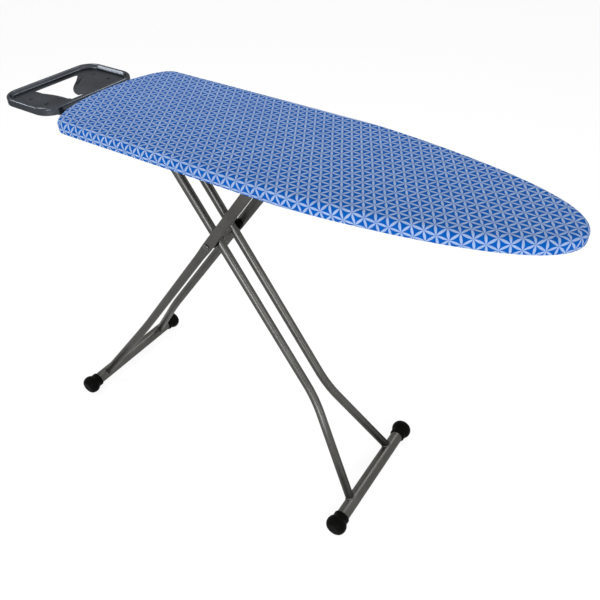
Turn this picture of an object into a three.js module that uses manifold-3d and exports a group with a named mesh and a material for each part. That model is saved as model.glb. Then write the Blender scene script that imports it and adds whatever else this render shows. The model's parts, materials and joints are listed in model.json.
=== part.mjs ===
// Folding ironing board, in millimetres, +Z up.
// The board frame has X = 0 at the tail end and X = BOARD_LENGTH at the nose.
// Near side is -Y, far side is +Y. The last lines move the origin to the middle
// of the footprint, at floor level.

import * as THREE from "three";
import { mergeVertices } from "three/addons/utils/BufferGeometryUtils.js";
import Module from "manifold-3d";

const wasm = await Module();
wasm.setup();

// ---------------------------------------------------------------- driving sizes

// Board outline.
const BOARD_LENGTH = 1100;
const BOARD_WIDTH = 366;
const TAIL_LENGTH = 68; // length of the elliptical tail end
const NOSE_LENGTH = 493; // length of the curved nose
const NOSE_TAPER = 6.5; // half width lost before the nose curve starts
const NOSE_REACH = 25; // length of the nose curve's first control arm
const NOSE_BLUNTNESS = 0.746; // nose control point, as a share of the half width
const BOARD_HEIGHT = 912; // top of the cover above the floor

// Layers of the board, from the top down.
const GAP = 0.3; // between touching pieces
const COVER_THICKNESS = 1.5;
const PAD_THICKNESS = 5;
const DECK_THICKNESS = 1.2;
const VENT_COLUMNS = 7; // rows of steam slots in the deck
const VENT_LENGTH = 48; // between a slot's end centres
const VENT_RADIUS = 7;
const VENT_ROW_SHARE = 0.27; // row spacing as a share of the width
const RIM_HEIGHT = 18;
const RIM_WIDTH = 18;
const RIM_EDGE = 5; // rounding of the rim's edges
const RIM_INSET = 3; // rim's outer face inside the outline
const EDGE_RADIUS = 11.6; // rounding of the cover's top edge
const HEM_WIDTH = 24; // cover turned under the rim
const HEM_CLEARANCE = 1.4;

// Cross channels under the deck.
const CHANNEL_HEIGHT = 16;
const CHANNEL_WIDTH = 24;
const SHEET = 1.5; // wall of pressed steel pieces
const NOSE_CHANNEL_BACK = 165; // from the nose to the last channel
const CUT_REACH = 2 * BOARD_LENGTH; // size of the blocks that cut pieces off
const TRIM = 40; // extra height that such a cut takes away

// Legs. Leg A is the inner pair of tubes, leg B the outer pair.
const CROSS_X = 336; // where the legs cross
const UPPER_ARM = 297.75; // from the crossing up to a leg's top axis
const LEG_ANGLE = THREE.MathUtils.degToRad(54.4); // from the floor
const FOLDED_ANGLE = THREE.MathUtils.degToRad(4.4);
const TUBE_DIAMETER = 22;
const A_HALF_SPACING = 28.5;
const A_FOOT_HALF_SPACING = 104;
const SPACER_LENGTH = 13.5; // between an A tube and a B tube at the crossing
const B_FOOT_HALF_SPACING = 119;
const BEND_HEIGHT = 250;
const BEND_REACH = 45; // bend's tangent length
const TUBE_WALL = 1.4;
const B_FLAT_DEPTH = 25; // leg B above the crossing is pressed oval
const B_FLAT_WIDTH = 18;
const B_OVAL_BELOW_CROSS = 20;
const B_TOP_PAST_ROD = 8;
const SPACER_RADIUS = 13;

// Feet.
const FOOT_BAR_DIAMETER = 34;
const FOOT_BAR_HALF = 164;
const CAP_OVERLAP = 12; // cap over the end of its bar
const CAP_LENGTH = 45;
const CAP_WALL = 3.5;
const CAP_FLARE = 6; // ball radius past the collar's
const CAP_FLAT = 2; // depth of the flat under the ball
const CAP_COLLAR_LENGTH = 15;

// Pins, rods and slides.
const PIN_DIAMETER = 8;
const TOP_ROD_DIAMETER = 12;
const PIN_HEAD_RADIUS = 7.5;
const PIN_HEAD_HEIGHT = 3;
const SHOE_BELOW_TUBE = 4; // shoe's height under a leg tube's, so that both clear the channels
const SHOE_LENGTH = 30;
const SHOE_WIDTH = 13.4;
const RAIL_WALL = 2;
const RAIL_OVERRUN = 52; // rail past the rod at both ends of its travel
const EAR_THICKNESS = 3;
const EAR_LENGTH = 28;
const EAR_DEPTH = 13; // ear below the hinge axis
const EAR_CLEARANCE = 4.5; // between an A tube's side and an ear
const FLANGE_WIDTH = 14;
const FLANGE_THICKNESS = 2;

// Height lever, on the near side.
const LEVER_CLEARANCE = 19.3; // between the lever's axis and the near rail
const LEVER_BELOW_WEB = 13.4; // lever axis under the cross channels
const LEVER_ARM = 30;
const ARM_TIP_HALF = 30; // half width of the arm at the grip
const ARM_ROOT_HALF = 16; // half width of the arm at the bar
const BEARING_HALF = 9; // half width of a bearing bracket
const BEARING_FLANGE = 16;
const BEARING_BELOW_AXIS = 8;
const GRIP_RADIUS = 6.5;
const GRIP_LENGTH = 84;
const NOTCH_COUNT = 5;
const COMB_THICKNESS = 3;
const NOTCH_SHARE = 0.6; // notch depth as a share of the comb's width
const COMB_END = 2.2; // comb past its outer notches, in notch half widths
const BAR_OVERRUN = 6; // bar past the rear channel
const BAR_HEAD = 2.5;
const SPRING_TURNS = 4;
const SPRING_PITCH = 2.6;
const SPRING_WIRE = 1.6;

// Iron rest.
const REST_GAP = 28; // between the rest and the tail end
const REST_LENGTH = 172;
const REST_WIDTH = 278;
const REST_CORNER = 44;
const REST_BELOW_TOP = 14;
const REST_DEPTH = 18;
const REST_RIM_WIDTH = 11;
const REST_FLOOR_BELOW_RIM = 9;
const REST_EDGE = 5; // rounding of the rim's outer edge
const REST_FLOOR_EDGE = 3; // rounding where the floor meets the rim
const REST_HOLE_RADIUS = 3.2;
const REST_HOLE_SPACING = 54;
const REST_HOLE_SHARE = 0.46875; // screw holes' Y as a share of the floor's half width
const RIVET_RADIUS = 2.5;
const REST_ARM_WIDTH = 22;
const REST_ARM_THICKNESS = 3;
const REST_ARM_REACH = 74; // past the tail end, under the rim
const REST_ARM_CRANK = 14; // length of each sloping stretch
const REST_ARM_PAST_RIVET = 18;
const RIVET_HEAD_HEIGHT = 1.6;
const RIVET_HEAD_RIM = 1.2;

// ---------------------------------------------------------------- derived places

const PIN_BORE = PIN_DIAMETER / 2 + GAP;
const ROD_BORE = TOP_ROD_DIAMETER / 2 + GAP;
const HALF_WIDTH = BOARD_WIDTH / 2;
const NOSE_HALF_WIDTH = HALF_WIDTH - NOSE_TAPER;
const NOSE_START = BOARD_LENGTH - NOSE_LENGTH;
const TUBE_RADIUS = TUBE_DIAMETER / 2;
const SHOE_HEIGHT = TUBE_DIAMETER - SHOE_BELOW_TUBE;
const PAD_TOP = BOARD_HEIGHT - COVER_THICKNESS - GAP;
const PAD_BOTTOM = PAD_TOP - PAD_THICKNESS;
const DECK_TOP = PAD_BOTTOM - GAP;
const RIM_TOP = DECK_TOP - DECK_THICKNESS - GAP;
const RIM_BOTTOM = RIM_TOP - RIM_HEIGHT;
const COVER_BOTTOM = RIM_BOTTOM - HEM_CLEARANCE - COVER_THICKNESS;
const CHANNEL_BOTTOM = RIM_TOP - CHANNEL_HEIGHT;
const RAIL_TOP = CHANNEL_BOTTOM - GAP;
const PIVOT_HEIGHT = RAIL_TOP - RAIL_WALL - GAP - SHOE_HEIGHT / 2;
const RAIL_BOTTOM = PIVOT_HEIGHT - SHOE_HEIGHT / 2 - GAP - RAIL_WALL;

const CAP_COLLAR_RADIUS = FOOT_BAR_DIAMETER / 2 + CAP_WALL;
const CAP_RADIUS = CAP_COLLAR_RADIUS + CAP_FLARE;
const CAP_MOUTH = FOOT_BAR_HALF - CAP_OVERLAP;
const CAP_END = CAP_MOUTH + CAP_LENGTH;
const FOOT_AXIS_HEIGHT = CAP_RADIUS - CAP_FLAT;

const B_HALF_SPACING = A_HALF_SPACING + TUBE_RADIUS + SPACER_LENGTH + B_FLAT_WIDTH / 2;
const CROSS_HEIGHT = PIVOT_HEIGHT - UPPER_ARM * Math.sin(LEG_ANGLE);
const LOWER_ARM = (CROSS_HEIGHT - FOOT_AXIS_HEIGHT) / Math.sin(LEG_ANGLE);
const BEND_ALONG = LOWER_ARM * (CROSS_HEIGHT - BEND_HEIGHT) / (CROSS_HEIGHT - FOOT_AXIS_HEIGHT);
const A_TOP_X = CROSS_X - UPPER_ARM * Math.cos(LEG_ANGLE);
const B_TOP_X = CROSS_X + UPPER_ARM * Math.cos(LEG_ANGLE);
const A_FOOT_X = CROSS_X + LOWER_ARM * Math.cos(LEG_ANGLE);
const B_FOOT_X = CROSS_X - LOWER_ARM * Math.cos(LEG_ANGLE);
const B_TOP_X_FOLDED = A_TOP_X + 2 * UPPER_ARM * Math.cos(FOLDED_ANGLE);

const RAIL_START = B_TOP_X - RAIL_OVERRUN;
const RAIL_END = B_TOP_X_FOLDED + RAIL_OVERRUN;
const SHOE_INNER_Y = B_HALF_SPACING + B_FLAT_WIDTH / 2 + 4;
const RAIL_WEB_Y = SHOE_INNER_Y + SHOE_WIDTH + GAP;
const EAR_INNER_Y = A_HALF_SPACING + TUBE_RADIUS + EAR_CLEARANCE;
const TAIL_CHANNEL_X = A_TOP_X;
const REAR_CHANNEL_X = RAIL_START + CHANNEL_WIDTH / 2 + 2;
const FRONT_CHANNEL_X = RAIL_END - CHANNEL_WIDTH / 2 - 2;
const NOSE_CHANNEL_X = BOARD_LENGTH - NOSE_CHANNEL_BACK;

const LEVER_Y = -(RAIL_WEB_Y + RAIL_WALL + LEVER_CLEARANCE);
const LEVER_Z = CHANNEL_BOTTOM - LEVER_BELOW_WEB;
const HANDLE_X = (B_TOP_X + B_TOP_X_FOLDED) / 2;
const GRIP_Y = LEVER_Y - LEVER_ARM;
const SPRING_LENGTH = SPRING_TURNS * SPRING_PITCH;
const BAR_START = REAR_CHANNEL_X - CHANNEL_WIDTH / 2 - BAR_OVERRUN;
const BEARING_END_X = FRONT_CHANNEL_X + CHANNEL_WIDTH / 2 - SPRING_LENGTH - 4;
const BAR_END = BEARING_END_X + SPRING_LENGTH + 5;

const REST_CENTRE_X = -(REST_LENGTH / 2 + REST_GAP);
const REST_ARM_Y = REST_WIDTH / 2 - REST_CORNER + 1;
const REST_HOLE_Y = REST_HOLE_SHARE * (REST_WIDTH / 2 - REST_RIM_WIDTH);
const REST_TOP = BOARD_HEIGHT - REST_BELOW_TOP;
const REST_FLOOR = REST_TOP - REST_FLOOR_BELOW_RIM;
const MIDDLE_X = (BOARD_LENGTH + REST_CENTRE_X - REST_LENGTH / 2) / 2;

// ---------------------------------------------------------------- materials

const paint = (color, roughness, metalness) =>
  new THREE.MeshStandardMaterial({ color, roughness, metalness });

const legPaint = paint(0x5c5a56, 0.42, 0.6);
const steel = paint(0x8b8d8f, 0.4, 0.8);
const restSteel = paint(0x4b4d50, 0.35, 0.75);
const blackPlastic = paint(0x0b0b0a, 0.55, 0);
const coverCloth = paint(0x4a7ec4, 0.85, 0);
const padFelt = paint(0xd8d4c8, 0.95, 0);

// ---------------------------------------------------------------- geometry helpers

function toSolid(geometry) {
  const bare = geometry.index ? geometry.clone() : geometry;
  bare.deleteAttribute("normal");
  bare.deleteAttribute("uv");
  const merged = mergeVertices(bare, 1e-4);
  return new wasm.Manifold(new wasm.Mesh({
    numProp: 3,
    vertProperties: new Float32Array(merged.attributes.position.array),
    triVerts: new Uint32Array(merged.index.array),
  }));
}

function toGeometry(solid) {
  const mesh = solid.getMesh();
  const geometry = new THREE.BufferGeometry();
  geometry.setAttribute("position", new THREE.BufferAttribute(mesh.vertProperties, 3));
  geometry.setIndex(new THREE.BufferAttribute(mesh.triVerts, 1));
  return geometry;
}

function cut(base, ...tools) {
  return toGeometry(tools.map(toSolid).reduce((solid, tool) => solid.subtract(tool), toSolid(base)));
}

function join(...parts) {
  const [first, ...others] = parts.map(toSolid);
  return toGeometry(others.reduce((solid, other) => solid.add(other), first));
}

function boxBetween(x0, x1, y0, y1, z0, z1) {
  const box = new THREE.BoxGeometry(x1 - x0, y1 - y0, z1 - z0);
  return box.translate((x0 + x1) / 2, (y0 + y1) / 2, (z0 + z1) / 2);
}

// A block that takes away everything below one height.
function belowBox(z) {
  return boxBetween(-CUT_REACH, CUT_REACH, -CUT_REACH, CUT_REACH, z - CUT_REACH, z);
}

// A shape drawn in X and Y, standing from z0 to z1, with its edges rounded.
function slab(shape, z0, z1, radius = 0, segments = 3) {
  const geometry = new THREE.ExtrudeGeometry(shape, {
    depth: z1 - z0 - 2 * radius,
    bevelEnabled: radius > 0,
    bevelThickness: radius,
    bevelSize: radius,
    bevelOffset: -radius,
    bevelSegments: segments,
    curveSegments: 5,
  });
  return geometry.translate(0, 0, z0 + radius);
}

// A shape drawn in X and Z, extruded along Y from y0 to y1.
function acrossY(shape, y0, y1) {
  const geometry = new THREE.ExtrudeGeometry(shape, { depth: y1 - y0, bevelEnabled: false });
  return geometry.rotateX(Math.PI / 2).translate(0, y1, 0);
}

// A shape drawn in Y and Z, extruded along X from x0 to x1.
function alongX(shape, x0, x1) {
  const geometry = new THREE.ExtrudeGeometry(shape, { depth: x1 - x0, bevelEnabled: false });
  return geometry.rotateX(Math.PI / 2).rotateZ(Math.PI / 2).translate(x0, 0, 0);
}

function polygon(...corners) {
  return new THREE.Shape(corners.map(([x, y]) => new THREE.Vector2(x, y)));
}

// A cylinder along Y.
function rodY(radius, y0, y1, x, z, sides = 20) {
  const rod = new THREE.CylinderGeometry(radius, radius, y1 - y0, sides);
  return rod.translate(x, (y0 + y1) / 2, z);
}

// A cylinder along Y that runs right through whatever it cuts.
function boreY(radius, x, z) {
  return rodY(radius, -BOARD_WIDTH, BOARD_WIDTH, x, z);
}

// A cylinder along X.
function rodX(radius, x0, x1, y, z, sides = 16) {
  const rod = new THREE.CylinderGeometry(radius, radius, x1 - x0, sides);
  return rod.rotateZ(Math.PI / 2).translate((x0 + x1) / 2, y, z);
}

// A turned piece along Y from [radius, y] pairs that start and end on the axis.
function turnedY(profile, x, z, sides = 20) {
  const points = profile.map(([radius, y]) => new THREE.Vector2(radius, y));
  return new THREE.LatheGeometry(points, sides).translate(x, 0, z);
}

// A headed pin along Y whose heads sit just outside y0 and y1.
function headedPinY(radius, y0, y1, x, z) {
  const head = PIN_HEAD_HEIGHT;
  const bevel = head / 2;
  return turnedY([
    [0, y0 - head], [PIN_HEAD_RADIUS - bevel, y0 - head], [PIN_HEAD_RADIUS, y0 - bevel],
    [PIN_HEAD_RADIUS, y0], [radius, y0], [radius, y1], [PIN_HEAD_RADIUS, y1],
    [PIN_HEAD_RADIUS, y1 + bevel], [PIN_HEAD_RADIUS - bevel, y1 + head], [0, y1 + head],
  ], x, z);
}

// ---------------------------------------------------------------- board outline

function halfOutline() {
  const tail = new THREE.EllipseCurve(TAIL_LENGTH, 0, TAIL_LENGTH, HALF_WIDTH, Math.PI, Math.PI / 2, true);
  const slope = (NOSE_HALF_WIDTH - HALF_WIDTH) / (NOSE_START - TAIL_LENGTH);
  const nose = new THREE.CubicBezierCurve(
    new THREE.Vector2(NOSE_START, NOSE_HALF_WIDTH),
    new THREE.Vector2(NOSE_START + NOSE_REACH, NOSE_HALF_WIDTH + slope * NOSE_REACH),
    new THREE.Vector2(BOARD_LENGTH, NOSE_BLUNTNESS * HALF_WIDTH),
    new THREE.Vector2(BOARD_LENGTH, 0),
  );
  return [...tail.getPoints(10), ...nose.getPoints(15)];
}

const HALF_OUTLINE = halfOutline();

// The whole outline, moved inwards, running from the nose along the near side.
function outlinePoints(inset) {
  const far = HALF_OUTLINE;
  const near = far.slice(1, -1).reverse().map((point) => new THREE.Vector2(point.x, -point.y));
  const loop = [...far, ...near];
  const count = loop.length;
  const moved = loop.map((point, i) => {
    const before = point.clone().sub(loop[(i + count - 1) % count]).normalize();
    const after = loop[(i + 1) % count].clone().sub(point).normalize();
    const along = before.add(after);
    const bisector = new THREE.Vector2(along.y, -along.x).normalize();
    const normal = new THREE.Vector2(after.y, -after.x);
    return point.clone().addScaledVector(bisector, inset / bisector.dot(normal));
  });
  return moved.reverse();
}

function outlineShape(inset) {
  return new THREE.Shape(outlinePoints(inset));
}

// Half the width of the inset outline at one X.
function halfWidthAt(x, inset) {
  const points = outlinePoints(inset).filter((point) => point.y >= 0).sort((a, b) => a.x - b.x);
  const next = points.findIndex((point) => point.x >= x);
  const a = points[next - 1];
  const b = points[next];
  return a.y + (b.y - a.y) * (x - a.x) / (b.x - a.x);
}

// ---------------------------------------------------------------- board pieces

function makeCover() {
  const outer = slab(outlineShape(0), COVER_BOTTOM - TRIM, BOARD_HEIGHT, EDGE_RADIUS);
  const inner = cut(
    slab(outlineShape(COVER_THICKNESS), COVER_BOTTOM - TRIM, PAD_TOP + GAP, EDGE_RADIUS - COVER_THICKNESS),
    belowBox(COVER_BOTTOM + COVER_THICKNESS),
  );
  const mouth = slab(outlineShape(HEM_WIDTH), COVER_BOTTOM - TRIM, RIM_BOTTOM);
  return cut(outer, belowBox(COVER_BOTTOM), inner, mouth);
}

function makePad() {
  const inset = COVER_THICKNESS + GAP;
  return cut(slab(outlineShape(inset), PAD_TOP - TRIM, PAD_TOP, EDGE_RADIUS - inset), belowBox(PAD_BOTTOM));
}

// The board's sheet top, with three rows of steam slots.
function makeDeck() {
  const shape = outlineShape(RIM_INSET);
  const pitch = BOARD_LENGTH / (VENT_COLUMNS + 2);
  for (const row of [-1, 0, 1]) {
    for (let column = 0; column < VENT_COLUMNS; column += 1) {
      const x = pitch * (column + 1.2);
      const y = row * VENT_ROW_SHARE * BOARD_WIDTH;
      const vent = new THREE.Path();
      vent.absarc(x + VENT_LENGTH / 2, y, VENT_RADIUS, -Math.PI / 2, Math.PI / 2, false);
      vent.absarc(x - VENT_LENGTH / 2, y, VENT_RADIUS, Math.PI / 2, Math.PI * 1.5, false);
      shape.holes.push(vent);
    }
  }
  const geometry = new THREE.ExtrudeGeometry(shape, {
    depth: DECK_THICKNESS,
    bevelEnabled: false,
    curveSegments: 2,
  });
  return geometry.translate(0, 0, DECK_TOP - DECK_THICKNESS);
}

function makeRim() {
  const ring = outlineShape(RIM_INSET);
  ring.holes.push(new THREE.Path(outlinePoints(RIM_INSET + RIM_WIDTH)));
  return slab(ring, RIM_BOTTOM, RIM_TOP, RIM_EDGE, 2);
}

// An open-topped channel across the board, between the rim's inner faces.
function makeChannel(x) {
  const half = CHANNEL_WIDTH / 2;
  const inset = RIM_INSET + RIM_WIDTH + GAP;
  const reach = Math.min(halfWidthAt(x - half, inset), halfWidthAt(x + half, inset));
  const section = polygon(
    [x - half, RIM_TOP], [x - half, CHANNEL_BOTTOM], [x + half, CHANNEL_BOTTOM], [x + half, RIM_TOP],
    [x + half - SHEET, RIM_TOP], [x + half - SHEET, CHANNEL_BOTTOM + SHEET],
    [x - half + SHEET, CHANNEL_BOTTOM + SHEET], [x - half + SHEET, RIM_TOP],
  );
  return acrossY(section, -reach, reach);
}

// A guide rail for one sliding shoe, open towards the middle of the board.
function makeRail(side) {
  const inner = SHOE_INNER_Y - 1;
  const outer = RAIL_WEB_Y + RAIL_WALL;
  const section = polygon(
    [side * inner, RAIL_TOP], [side * outer, RAIL_TOP],
    [side * outer, RAIL_BOTTOM], [side * inner, RAIL_BOTTOM],
    [side * inner, RAIL_BOTTOM + RAIL_WALL], [side * RAIL_WEB_Y, RAIL_BOTTOM + RAIL_WALL],
    [side * RAIL_WEB_Y, RAIL_TOP - RAIL_WALL], [side * inner, RAIL_TOP - RAIL_WALL],
  );
  return alongX(section, RAIL_START, RAIL_END);
}

// A hanging ear for the hinge pin, with a flange under the tail channel.
function makeHingeEar(side) {
  const top = CHANNEL_BOTTOM - GAP;
  const inner = EAR_INNER_Y;
  const outer = inner + EAR_THICKNESS;
  const flange = outer + FLANGE_WIDTH;
  const bottom = PIVOT_HEIGHT - EAR_DEPTH;
  const section = polygon(
    [side * inner, top], [side * flange, top], [side * flange, top - FLANGE_THICKNESS],
    [side * outer, top - FLANGE_THICKNESS], [side * outer, bottom], [side * inner, bottom],
  );
  const ear = alongX(section, A_TOP_X - EAR_LENGTH / 2, A_TOP_X + EAR_LENGTH / 2);
  return cut(ear, boreY(PIN_BORE, A_TOP_X, PIVOT_HEIGHT));
}

function makeHingePin() {
  const reach = EAR_INNER_Y + EAR_THICKNESS + GAP;
  return headedPinY(PIN_DIAMETER / 2, -reach, reach, A_TOP_X, PIVOT_HEIGHT);
}

// ---------------------------------------------------------------- legs

const DOWN_A = new THREE.Vector3(Math.cos(LEG_ANGLE), 0, -Math.sin(LEG_ANGLE));
const DOWN_B = new THREE.Vector3(-Math.cos(LEG_ANGLE), 0, -Math.sin(LEG_ANGLE));

// A line through stations, one step of a sweep for each stretch.
class StationLine extends THREE.Curve {
  constructor(stations) {
    super();
    this.stations = stations;
  }

  getPoint(t) {
    const last = this.stations.length - 1;
    const i = Math.min(Math.floor(t * last), last - 1);
    return this.stations[i].clone().lerp(this.stations[i + 1], t * last - i);
  }

  getUtoTmapping(u) {
    return u;
  }

  getTangent(t) {
    const last = this.stations.length - 1;
    const i = Math.round(t * last);
    const before = this.stations[Math.max(i, 1)].clone().sub(this.stations[Math.max(i, 1) - 1]).normalize();
    const after = this.stations[Math.min(i, last - 1) + 1].clone().sub(this.stations[Math.min(i, last - 1)]);
    return before.add(after.normalize()).normalize();
  }
}

function sweep(section, stations) {
  return new THREE.ExtrudeGeometry(section, {
    steps: stations.length - 1,
    extrudePath: new StationLine(stations),
    bevelEnabled: false,
  });
}

// A point on a leg, measured down the leg from the crossing, at one Y.
function legPoint(down, along, y) {
  return new THREE.Vector3(CROSS_X, y, CROSS_HEIGHT).addScaledVector(down, along);
}

// Stations from a start on the leg to its foot bar, round one bend.
function legStations(down, start, y, footY) {
  const bend = legPoint(down, BEND_ALONG, y);
  const foot = legPoint(down, LOWER_ARM, footY);
  const into = legPoint(down, BEND_ALONG - BEND_REACH, y);
  const out = bend.clone().addScaledVector(foot.clone().sub(bend).normalize(), BEND_REACH);
  const curve = new THREE.QuadraticBezierCurve3(into, bend, out);
  return [legPoint(down, start, y), ...curve.getPoints(4), foot];
}

// An oval ring, its first size across the sweep's side-to-side direction.
function ovalSection(width, depth, wall) {
  const outer = new THREE.EllipseCurve(0, 0, width / 2, depth / 2).getPoints(14).slice(1);
  const inner = new THREE.EllipseCurve(0, 0, width / 2 - wall, depth / 2 - wall).getPoints(8).slice(1);
  const ring = new THREE.Shape(outer);
  ring.holes.push(new THREE.Path(inner));
  return ring;
}

function makeTubeA(side) {
  const tube = sweep(
    ovalSection(TUBE_DIAMETER, TUBE_DIAMETER, TUBE_WALL),
    legStations(DOWN_A, -UPPER_ARM, side * A_HALF_SPACING, side * A_FOOT_HALF_SPACING),
  );
  return cut(
    tube,
    boreY(TUBE_RADIUS + GAP, A_TOP_X, PIVOT_HEIGHT),
    boreY(FOOT_BAR_DIAMETER / 2 + GAP, A_FOOT_X, FOOT_AXIS_HEIGHT),
    boreY(PIN_BORE, CROSS_X, CROSS_HEIGHT),
  );
}

// Leg B's tube: oval from below the crossing to its top, round from there down.
function makeTubeB(side) {
  const y = side * B_HALF_SPACING;
  const oval = sweep(
    ovalSection(B_FLAT_WIDTH, B_FLAT_DEPTH, TUBE_WALL),
    [legPoint(DOWN_B, -UPPER_ARM - B_TOP_PAST_ROD, y), legPoint(DOWN_B, B_OVAL_BELOW_CROSS, y)],
  );
  const lower = sweep(
    ovalSection(TUBE_DIAMETER, TUBE_DIAMETER, TUBE_WALL),
    legStations(DOWN_B, B_OVAL_BELOW_CROSS - 2 * TUBE_WALL, y, side * B_FOOT_HALF_SPACING),
  );
  return cut(
    join(oval, lower),
    boreY(ROD_BORE, B_TOP_X, PIVOT_HEIGHT),
    boreY(FOOT_BAR_DIAMETER / 2 + GAP, B_FOOT_X, FOOT_AXIS_HEIGHT),
    boreY(PIN_BORE, CROSS_X, CROSS_HEIGHT),
  );
}

// A hollow cylinder along Y.
function sleeveY(outer, bore, y0, y1, x, z) {
  return turnedY([[bore, y0], [outer, y0], [outer, y1], [bore, y1], [bore, y0]], x, z);
}

function makeHingeTube() {
  const reach = EAR_INNER_Y - GAP;
  return sleeveY(TUBE_RADIUS, PIN_BORE, -reach, reach, A_TOP_X, PIVOT_HEIGHT);
}

function makeCrossSleeve() {
  const reach = A_HALF_SPACING - TUBE_RADIUS - GAP;
  return sleeveY(PIN_BORE + 3.5, PIN_BORE, -reach, reach, CROSS_X, CROSS_HEIGHT);
}

function makeSpacer(side) {
  const inner = side * (A_HALF_SPACING + TUBE_RADIUS + GAP);
  const outer = side * (B_HALF_SPACING - B_FLAT_WIDTH / 2 - GAP);
  const [y0, y1] = [Math.min(inner, outer), Math.max(inner, outer)];
  return sleeveY(SPACER_RADIUS, PIN_BORE, y0, y1, CROSS_X, CROSS_HEIGHT);
}

function makeCrossPin() {
  const reach = B_HALF_SPACING + B_FLAT_WIDTH / 2 + GAP;
  return headedPinY(PIN_DIAMETER / 2, -reach, reach, CROSS_X, CROSS_HEIGHT);
}

function makeTopRod() {
  const reach = RAIL_WEB_Y - 2 * GAP;
  const radius = TOP_ROD_DIAMETER / 2;
  return turnedY([
    [0, -reach], [radius - 1, -reach], [radius, 1 - reach],
    [radius, reach - 1], [radius - 1, reach], [0, reach],
  ], B_TOP_X, PIVOT_HEIGHT);
}

function makeShoe(side) {
  const inner = side * SHOE_INNER_Y;
  const outer = side * (SHOE_INNER_Y + SHOE_WIDTH);
  const [y0, y1] = [Math.min(inner, outer), Math.max(inner, outer)];
  const half = SHOE_LENGTH / 2;
  const rise = SHOE_HEIGHT / 2;
  const nose = 4;
  const outline = polygon(
    [B_TOP_X - half, PIVOT_HEIGHT - rise + nose], [B_TOP_X - half + nose, PIVOT_HEIGHT - rise],
    [B_TOP_X + half - nose, PIVOT_HEIGHT - rise], [B_TOP_X + half, PIVOT_HEIGHT - rise + nose],
    [B_TOP_X + half, PIVOT_HEIGHT + rise - nose], [B_TOP_X + half - nose, PIVOT_HEIGHT + rise],
    [B_TOP_X - half + nose, PIVOT_HEIGHT + rise], [B_TOP_X - half, PIVOT_HEIGHT + rise - nose],
  );
  return cut(acrossY(outline, y0, y1), boreY(ROD_BORE, B_TOP_X, PIVOT_HEIGHT));
}

function makeFootBar(x) {
  const radius = FOOT_BAR_DIAMETER / 2;
  return sleeveY(radius, radius - TUBE_WALL, -FOOT_BAR_HALF, FOOT_BAR_HALF, x, FOOT_AXIS_HEIGHT);
}

// A plastic cap: a collar round the bar's end, then a ball with a flat under it.
function makeCap(x, side) {
  const socket = FOOT_BAR_DIAMETER / 2 + GAP;
  const bottom = FOOT_BAR_HALF + 2 * GAP;
  const flare = CAP_MOUTH + CAP_COLLAR_LENGTH;
  const ball = CAP_END - flare;
  const profile = [
    [0, bottom], [socket, bottom], [socket, CAP_MOUTH], [CAP_COLLAR_RADIUS - 1, CAP_MOUTH],
    [CAP_COLLAR_RADIUS, CAP_MOUTH + 1], [CAP_COLLAR_RADIUS, flare],
    [CAP_RADIUS - 2, flare + ball * 0.18], [CAP_RADIUS, flare + ball * 0.45],
    [CAP_RADIUS - 1.5, flare + ball * 0.7], [CAP_RADIUS * 0.76, flare + ball * 0.9],
    [CAP_RADIUS * 0.42, CAP_END], [0, CAP_END],
  ];
  const cap = turnedY(profile, 0, 0, 22);
  if (side < 0) {
    cap.rotateZ(Math.PI);
  }
  return cut(cap.translate(x, 0, FOOT_AXIS_HEIGHT), belowBox(0));
}

// ---------------------------------------------------------------- height lever

// A bracket that hangs from a cross channel and carries the lever bar.
function makeLeverBearing(x, towards) {
  const top = CHANNEL_BOTTOM - GAP;
  const bottom = LEVER_Z - BEARING_BELOW_AXIS;
  const section = polygon(
    [x, top], [x + towards * BEARING_FLANGE, top], [x + towards * BEARING_FLANGE, top - FLANGE_THICKNESS],
    [x + towards * EAR_THICKNESS, top - FLANGE_THICKNESS], [x + towards * EAR_THICKNESS, bottom],
    [x, bottom],
  );
  const bracket = acrossY(section, LEVER_Y - BEARING_HALF, LEVER_Y + BEARING_HALF);
  return cut(bracket, rodX(PIN_BORE, x - BEARING_FLANGE, x + BEARING_FLANGE, LEVER_Y, LEVER_Z));
}

function makeLeverBar() {
  const radius = PIN_DIAMETER / 2;
  const head = radius + 2;
  const profile = [
    [0, BAR_START - BAR_HEAD], [head, BAR_START - BAR_HEAD], [head, BAR_START], [radius, BAR_START],
    [radius, BAR_END], [head, BAR_END], [head, BAR_END + BAR_HEAD], [0, BAR_END + BAR_HEAD],
  ];
  return turnedY(profile, 0, 0, 16).rotateZ(-Math.PI / 2).translate(0, LEVER_Y, LEVER_Z);
}

// A flat comb with one notch for each working height of the top rod.
function makeComb() {
  const back = LEVER_Y + PIN_DIAMETER / 2 + GAP;
  const front = -(RAIL_WEB_Y + RAIL_WALL + 1);
  const notch = ROD_BORE;
  const depth = (front - back) * NOTCH_SHARE;
  const pitch = (B_TOP_X_FOLDED - B_TOP_X) / (NOTCH_COUNT + 1);
  const start = B_TOP_X - COMB_END * notch;
  const end = B_TOP_X + (NOTCH_COUNT - 1) * pitch + COMB_END * notch;
  const corners = [[start, front]];
  for (let i = 0; i < NOTCH_COUNT; i += 1) {
    const x = B_TOP_X + i * pitch;
    corners.push([x - notch, front], [x - notch, front - depth]);
    corners.push([x + notch, front - depth], [x + notch, front]);
  }
  corners.push([end, front], [end, back], [start, back]);
  return slab(polygon(...corners.reverse()), LEVER_Z, LEVER_Z + COMB_THICKNESS);
}

function makeLeverArm() {
  const root = LEVER_Y - PIN_DIAMETER / 2 - GAP;
  const outline = polygon(
    [HANDLE_X - ARM_TIP_HALF, GRIP_Y], [HANDLE_X + ARM_TIP_HALF, GRIP_Y],
    [HANDLE_X + ARM_ROOT_HALF, root], [HANDLE_X - ARM_ROOT_HALF, root],
  );
  return slab(outline, LEVER_Z - COMB_THICKNESS / 2, LEVER_Z + COMB_THICKNESS / 2);
}

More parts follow.
